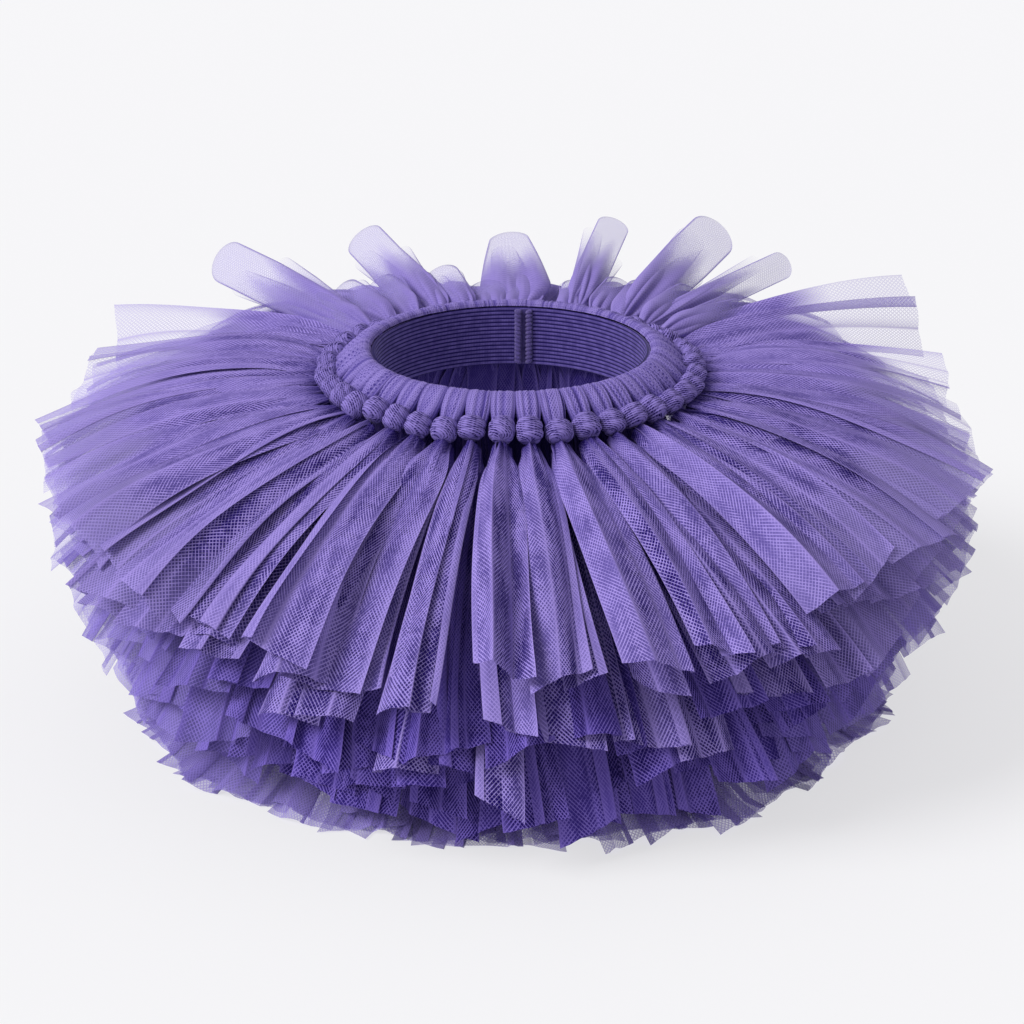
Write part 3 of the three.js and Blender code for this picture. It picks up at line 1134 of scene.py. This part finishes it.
@dataclass
class LoopRow:
    """The closed loops and the short gathers that stand up behind the waist."""

    # The way that the loops' faces look
    facing = (0.0, -0.93, 0.37)
    loops = (
        LoopCut(16, 134.5, 0.219, 0.183, 0.016, 0.018),
        LoopCut(17, 145.0, 0.208, 0.199, 0.028, 0.022),
        LoopCut(19, 162.5, 0.200, 0.197, 0.0185, 0.019),
        LoopCut(21, 180.5, 0.184, 0.191, 0.017, 0.048, 1.1),
        LoopCut(24, 205.0, 0.206, 0.190, 0.023, 0.030),
        LoopCut(27, 226.0, 0.231, 0.184, 0.025, 0.018),
    )
    gathers = (
        LoopCut(15, 124.0, 0.160, 0.170, 0.026, 0.024),
        LoopCut(16, 136.0, 0.150, 0.176, 0.026, 0.024),
        LoopCut(17, 145.0, 0.140, 0.178, 0.028, 0.024),
        LoopCut(18, 152.5, 0.142, 0.178, 0.024, 0.024),
        LoopCut(19, 163.0, 0.134, 0.179, 0.020, 0.022),
        LoopCut(21, 176.0, 0.128, 0.178, 0.022, 0.022),
        LoopCut(22, 186.0, 0.128, 0.180, 0.022, 0.022),
        LoopCut(23, 198.0, 0.136, 0.186, 0.022, 0.024),
        LoopCut(24, 203.5, 0.146, 0.178, 0.026, 0.024),
        LoopCut(25, 211.0, 0.152, 0.176, 0.026, 0.024),
        LoopCut(26, 219.0, 0.156, 0.174, 0.026, 0.024),
        LoopCut(27, 229.0, 0.160, 0.171, 0.026, 0.024),
    )
    loop_layers = (Petal(1.0, 1.0, 0.0, False), Petal(0.84, 0.62, 5.0, True), Petal(0.68, 0.7, -6.0, True))
    gather_layers = (Petal(1.0, 1.0, 0.0, False), Petal(0.9, 0.7, 7.0, True), Petal(0.85, 0.7, -8.0, True))
    rows: int = 32
    sides: int = 40
    root_radius: float = 0.0965
    root_height: float = 0.1685
    root_half: float = 0.0045
    flat_length: float = 0.2
    seed: int = 19

    def petal(self, waist: Waist, loop: LoopCut, layer: Petal, rng: np.random.Generator) -> Cloth:
        """Lays out one layer of a loop as a flattened petal with a round end.

        Args:
            waist: The waist that it stands behind.
            loop: The loop's place and sizes.
            layer: The layer's share of the loop.
            rng: The seeded source of unevenness.

        Returns:
            The layer's cloth.
        """
        root = waist.point(place_azimuth(loop.place), self.root_radius, self.root_height)
        run = (waist.point(loop.azimuth, loop.reach, loop.height) - root) * layer.length
        length = float(np.linalg.norm(run))
        along = run / length
        side = np.cross(np.array(self.facing), along)
        side /= np.linalg.norm(side)
        lean = math.radians(layer.turn + rng.uniform(-2.0, 2.0) * layer.ends_clear)
        cos, sin = math.cos(lean), math.sin(lean)
        along, side = along * cos + side * sin, side * cos - along * sin
        up = np.cross(along, side)
        width = loop.width * layer.width
        way = np.sin(np.linspace(0.0, 1.0, self.rows) * math.pi / 2)[:, None]
        turn = np.linspace(0.0, 2.0 * math.pi, self.sides + 1)[None, :]
        taper = np.clip((1.0 - way) / (width / 2 / length), 0.0, 1.0)
        round_end = np.sqrt(np.clip(1.0 - (1.0 - taper) ** 2, 0.0, 1.0))
        swell = np.clip(way / 0.3, 0.0, 1.0)
        wider = loop.foot * layer.width / 2 - self.root_half
        foot = self.root_half + wider * swell * swell * (3.0 - 2.0 * swell)
        spread = np.clip(way / loop.narrowing, 0.0, 1.0)
        half = (foot * (1.0 - spread) + width / 2 * spread) * round_end
        thick = (0.0022 + 0.0012 * np.sin(way * 3.0)) * round_end
        bulge = 0.05 * length * np.sin(way * math.pi) ** 1.2
        phase = rng.uniform(0.0, 6.28)
        crease = 0.0022 * np.clip(1.0 - way / 0.6, 0.0, 1.0) * np.sin(6.0 * np.cos(turn) + phase)
        points = (
            root
            + (way * length * np.ones_like(turn))[..., None] * along
            + (half * np.cos(turn))[..., None] * side
            + (thick * np.sin(turn) + bulge + crease)[..., None] * up
        )
        flat_side = turn * width / math.pi * np.ones_like(way)
        flat = np.stack([flat_side, way * length * np.ones_like(turn)], axis=-1)
        rim = np.clip((np.abs(np.cos(turn)) - 0.9) / 0.1, 0.0, 1.0) ** 0.6
        edge = rim * np.clip((1.06 - way) / 0.2, 0.3, 1.0)
        lit = 0.5 + 0.5 * np.sin(5.0 * np.cos(turn) + 4.0 * way + phase)
        sheer = np.clip((way + 0.16 * lit - 0.34) / 0.42, 0.0, 1.0)
        presence_and_shade = np.clip((1.0 - way) / 0.35, 0.0, 1.0) if layer.ends_clear else np.ones_like(way)
        return Cloth(points, flat, 0.2 * lit, np.maximum(sheer, 0.05), edge, presence_and_shade)

    def build(self, waist: Waist) -> list[bpy.types.Object]:
        """Args:
            waist: The waist that they stand behind.

        Returns:
            The piece that holds them.
        """
        rng = np.random.default_rng(self.seed)
        cloths = [
            self.petal(waist, loop, layer, rng)
            for loops, layers in ((self.loops, self.loop_layers), (self.gathers, self.gather_layers))
            for loop in loops
            for layer in layers
        ]
        piece = cloth_piece("back_loops", cloths, LOOP_NET.material(True))
        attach(piece, "root")
        logger.info("%d back loops and %d short gathers", len(self.loops), len(self.gathers))
        return [piece]


def select_only(piece: bpy.types.Object) -> None:
    """Makes a piece the only selected and active one."""
    bpy.ops.object.select_all(action="DESELECT")
    piece.select_set(True)
    bpy.context.view_layer.objects.active = piece


@dataclass
class ElasticBand:
    """The bare ribbed elastic, closed to a ring at the back."""

    ribs: int = 15
    segments: int = 300
    rib_height: float = 0.00028
    thickness: float = 0.0018

    def build(self, waist: Waist) -> list[bpy.types.Object]:
        """Turns a tube into a ribbed strip with thickness.

        Args:
            waist: The waist's axis and sizes.

        Returns:
            The band.
        """
        inner = waist.outer_radius - BAND_DEPTH
        bpy.ops.object.select_all(action="DESELECT")
        bpy.ops.mesh.primitive_cylinder_add(
            vertices=self.segments,
            radius=inner,
            depth=waist.top - waist.bottom,
            end_fill_type="NOTHING",
            location=(waist.x, waist.y, (waist.top + waist.bottom) / 2),
        )
        band = bpy.context.active_object
        band.name = band.data.name = "ribbed_band"
        select_only(band)
        bpy.ops.object.transform_apply(location=True, rotation=True, scale=True)
        bpy.ops.object.mode_set(mode="EDIT")
        bpy.ops.mesh.select_all(action="DESELECT")
        net = bmesh.from_edit_mesh(band.data)
        for edge in net.edges:
            edge.select = abs(edge.verts[0].co.z - edge.verts[1].co.z) > 0.01
        bmesh.update_edit_mesh(band.data)
        bpy.ops.mesh.subdivide(number_cuts=4 * self.ribs - 1)
        bpy.ops.object.mode_set(mode="OBJECT")
        self.raise_ribs(band, waist)
        solid = band.modifiers.new("thickness", "SOLIDIFY")
        solid.thickness = self.thickness
        solid.offset = 1.0
        bpy.ops.object.modifier_apply(modifier=solid.name)
        bpy.ops.object.shade_smooth_by_angle(angle=math.radians(50.0))
        self.unroll(band, waist)
        band.data.materials.clear()
        band.data.materials.append(ELASTIC.material())
        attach(band, "root")
        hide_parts("elastic_band")
        logger.info("ribbed band with %d ribs", self.ribs)
        return [band]

    def raise_ribs(self, band: bpy.types.Object, waist: Waist) -> None:
        """Raises the ribs on the tube's face by moving its rows in and out."""
        pitch = (waist.top - waist.bottom) / self.ribs
        for vertex in band.data.vertices:
            rib = abs(math.sin(math.pi * (vertex.co.z - waist.bottom) / pitch))
            way = Vector((vertex.co.x - waist.x, vertex.co.y - waist.y, 0.0)).normalized()
            vertex.co -= way * self.rib_height * rib**0.6

    def unroll(self, band: bpy.types.Object, waist: Waist) -> None:
        """Writes each corner's place along and across the strip as cloth coordinates."""
        mesh = band.data
        while mesh.uv_layers:
            mesh.uv_layers.remove(mesh.uv_layers[0])
        layer = mesh.uv_layers.new(name="cloth")
        for polygon in mesh.polygons:
            middle = math.atan2(polygon.center.y - waist.y, polygon.center.x - waist.x)
            for loop in polygon.loop_indices:
                spot = mesh.vertices[mesh.loops[loop].vertex_index].co
                turn = math.atan2(spot.y - waist.y, spot.x - waist.x)
                turn += 2 * math.pi * round((middle - turn) / (2 * math.pi))
                layer.uv[loop].vector = (turn * waist.outer_radius, spot.z - waist.bottom)


@dataclass
class BandJoin:
    """The elastic's lapped end, folded to a bar and held by two rows of stitches."""

    azimuth: float = 174.3
    stitches: int = 13
    bar_width: float = 0.0036
    row_offset: float = 0.0029

    def build(self, waist: Waist) -> list[bpy.types.Object]:
        """Models the raised bar, then the stitches as copies of one bead of thread.

        Args:
            waist: The waist's axis and sizes.

        Returns:
            The bar and the stitches.
        """
        low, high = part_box("band_join")
        turn = math.radians(self.azimuth)
        side, inward = across(self.azimuth), -outward(self.azimuth)
        inner = waist.outer_radius - BAND_DEPTH
        face = waist.point(self.azimuth, inner - 0.0002, (low.z + high.z) / 2)
        height = high.z - low.z
        pieces = []
        bar_middle = face + side * self.row_offset + inward * 0.0006
        flap_middle = face - side * 0.0018 + inward * 0.0002
        bar = self.block("join_bar", bar_middle, turn, (self.bar_width, 0.0022, height))
        flap = self.block("join_flap", flap_middle, turn, (0.0062, 0.0009, height))
        for block in (bar, flap):
            block.data.materials.append(ELASTIC.material() if block is flap else STITCHES.material())
            pieces.append(block)
        beads = []
        for offset, lean, lift in ((-self.row_offset, 1.0, 0.0010), (self.row_offset, -1.0, 0.0018)):
            for count in range(self.stitches):
                z = low.z + (count + 0.5) * height / self.stitches
                spot = np.array([*(face + side * offset + inward * lift)[:2], z])
                beads.append(self.bead(spot, turn, lean))
        select_only(beads[0])
        for bead in beads[1:]:
            bead.select_set(True)
        bpy.ops.object.join()
        rows = bpy.context.active_object
        rows.name = rows.data.name = "join_stitches"
        rows.data.materials.append(STITCHES.material())
        pieces.append(rows)
        for piece in pieces:
            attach(piece, "root")
        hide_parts("band_join")
        logger.info("lapped join with %d stitches", len(beads))
        return pieces

    def block(
        self, name: str, centre: np.ndarray, turn: float, size: tuple[float, float, float]
    ) -> bpy.types.Object:
        """Models a strip of folded elastic with softened edges.

        Args:
            name: The piece's name.
            centre: Its middle.
            turn: Its azimuth in radians.
            size: Its width, thickness and height in metres.

        Returns:
            The strip.
        """
        bpy.ops.object.select_all(action="DESELECT")
        bpy.ops.mesh.primitive_cube_add(size=1.0, location=centre, rotation=(0.0, 0.0, turn), scale=size)
        strip = bpy.context.active_object
        strip.name = strip.data.name = name
        select_only(strip)
        bpy.ops.object.transform_apply(location=True, rotation=True, scale=True)
        bevel = strip.modifiers.new("soft_edges", "BEVEL")
        bevel.width = min(size[:2]) * 0.42
        bevel.segments = 3
        bpy.ops.object.modifier_apply(modifier=bevel.name)
        bpy.ops.object.shade_smooth_by_angle(angle=math.radians(40.0))
        strip.data.uv_layers[0].name = "cloth"
        return strip

    def bead(self, spot: np.ndarray, turn: float, lean: float) -> bpy.types.Object:
        """Models one stitch: a bead of thread that lies slanted across its row.

        Args:
            spot: The stitch's middle.
            turn: The join's azimuth in radians.
            lean: The way that it slants, 1 or -1.

        Returns:
            The stitch.
        """
        bpy.ops.object.select_all(action="DESELECT")
        bpy.ops.mesh.primitive_uv_sphere_add(segments=10, ring_count=6, radius=1.0, location=spot)
        bead = bpy.context.active_object
        bead.scale = (0.0021, 0.0011, 0.0013)
        bead.rotation_euler = (0.0, lean * 0.45, turn)
        select_only(bead)
        bpy.ops.object.transform_apply(location=True, rotation=True, scale=True)
        bpy.ops.object.shade_smooth()
        bead.data.uv_layers[0].name = "cloth"
        return bead


@dataclass
class Studio:
    """The pale surface, the soft light and the camera."""

    distance: float = 1.5
    elevation: float = 21.518
    aim_height: float = 0.0925
    aim_side: float = 0.0007
    scale: float = 0.000523
    frame_pixels: int = 1024
    floor_size: float = 14.0

    def build(self, waist: Waist) -> None:
        """Sets up the camera, the floor, the lights and the colour handling."""
        self.add_camera(waist)
        self.add_floor()
        self.add_sun("soft_key", (-1.05, -0.42, 0.95), 30.0, 2.45)
        world = bpy.data.worlds.new("soft_white")
        world.use_nodes = True
        sky = world.node_tree.nodes["Background"]
        sky.inputs["Color"].default_value = (0.985, 0.985, 1.0, 1.0)
        sky.inputs["Strength"].default_value = 0.5
        scene = bpy.context.scene
        scene.world = world
        scene.view_settings.view_transform = "Standard"
        scene.cycles.transparent_max_bounces = 28
        scene.cycles.max_bounces = 6
        scene.cycles.diffuse_bounces = 2

    def add_camera(self, waist: Waist) -> None:
        """Places the camera at the photograph's viewing angle."""
        camera = bpy.data.cameras.new("camera")
        holder = bpy.data.objects.new("camera", camera)
        bpy.context.scene.collection.objects.link(holder)
        rise = math.radians(self.elevation)
        target = Vector((waist.x + self.aim_side, waist.y, self.aim_height))
        way = Vector((0.0, -math.cos(rise), math.sin(rise)))
        holder.location = target + way * self.distance
        holder.rotation_euler = (-way).to_track_quat("-Z", "Y").to_euler()
        camera.lens = camera.sensor_width * self.distance / (self.frame_pixels * self.scale)
        camera.clip_end = 50.0
        bpy.context.scene.camera = holder

    def add_floor(self) -> None:
        """Lays the plain pale surface."""
        bpy.ops.object.select_all(action="DESELECT")
        bpy.ops.mesh.primitive_plane_add(size=self.floor_size, location=(0.0, 0.0, 0.0))
        floor = bpy.context.active_object
        floor.name = floor.data.name = "floor"
        floor.data.materials.append(FLOOR.material())

    def add_sun(self, name: str, source: tuple[float, float, float], spread: float, power: float) -> None:
        """Adds a wide, soft light that falls evenly on the whole surface.

        Args:
            name: The light's name.
            source: The way towards it.
            spread: The angle that it fills in degrees.
            power: Its power in watts for each square metre.
        """
        light = bpy.data.lights.new(name, "SUN")
        light.angle = math.radians(spread)
        light.energy = power
        holder = bpy.data.objects.new(name, light)
        holder.rotation_euler = (-Vector(source)).to_track_quat("-Z", "Y").to_euler()
        bpy.context.scene.collection.objects.link(holder)


def main() -> None:
    """Builds the skirt round its frame and reports how many pieces and triangles it has."""
    logging.basicConfig(level=logging.INFO, format="%(message)s")
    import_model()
    waist = Waist.from_frame()
    Studio().build(waist)
    strays = (
        Stray(14, 115.5, 0.246, 0.166, 0.044, 62.0),
        Stray(13, 104.0, 0.241, 0.146, 0.036, 40.0),
        Stray(28, 243.0, 0.244, 0.150, 0.042, -50.0),
        Stray(29, 252.0, 0.243, 0.142, 0.036, -32.0),
    )
    tiers = (
        FannedTier(
            number=1,
            root=RootLine(0.0975, 0.1668),
            heights=(0.101, 0.138, 0.134),
            reaches=(0.238, 0.239, 0.226),
            tip_widths=(0.029, 0.050, 0.048),
            layers=3,
            hang=0.034,
            turn=0.0,
            finish=TOP_NET,
            seed=100,
            strays=strays,
        ),
        FannedTier(
            number=2,
            root=RootLine(0.0965, 0.1640),
            heights=(0.060, 0.104, 0.110),
            reaches=(0.227, 0.236, 0.226),
            tip_widths=(0.036, 0.043, 0.042),
            hang=0.02,
            turn=0.45,
            finish=SHADED_LOWER_NET,
            seed=200,
        ),
        FannedTier(
            number=3,
            root=RootLine(0.0950, 0.1605),
            heights=(0.042, 0.058, 0.062),
            reaches=(0.203, 0.222, 0.212),
            tip_widths=(0.037, 0.042, 0.042),
            layers=3,
            layer_drop=0.009,
            turn=0.1,
            finish=SHADED_LOWER_NET,
            seed=300,
        ),
        FloorTier(
            number=4,
            root=RootLine(0.0745, 0.1715),
            heights=(0.0, 0.0, 0.0),
            reaches=(0.196, 0.196, 0.192),
            tip_widths=(0.056, 0.046, 0.044),
            keep_out=0.0727,
            turn=0.55,
            finish=FLOOR_NET,
            seed=400,
            sheers=(1.0, 0.7, 0.2),
            # Painted shade reaches further down these tails, which hang behind the elastic
            shade=0.4,
            lap=3.0,
        ),
    )
    pieces = [*ElasticBand().build(waist), *BandJoin().build(waist), *KnotRow().build(waist)]
    pieces += LoopRow().build(waist)
    for tier in tiers:
        pieces += tier.build(waist)
    triangles = sum(sum(len(face.vertices) - 2 for face in piece.data.polygons) for piece in pieces)
    logger.info("%d pieces, %d triangles", len(pieces), triangles)


if __name__ == "__main__":
    main()
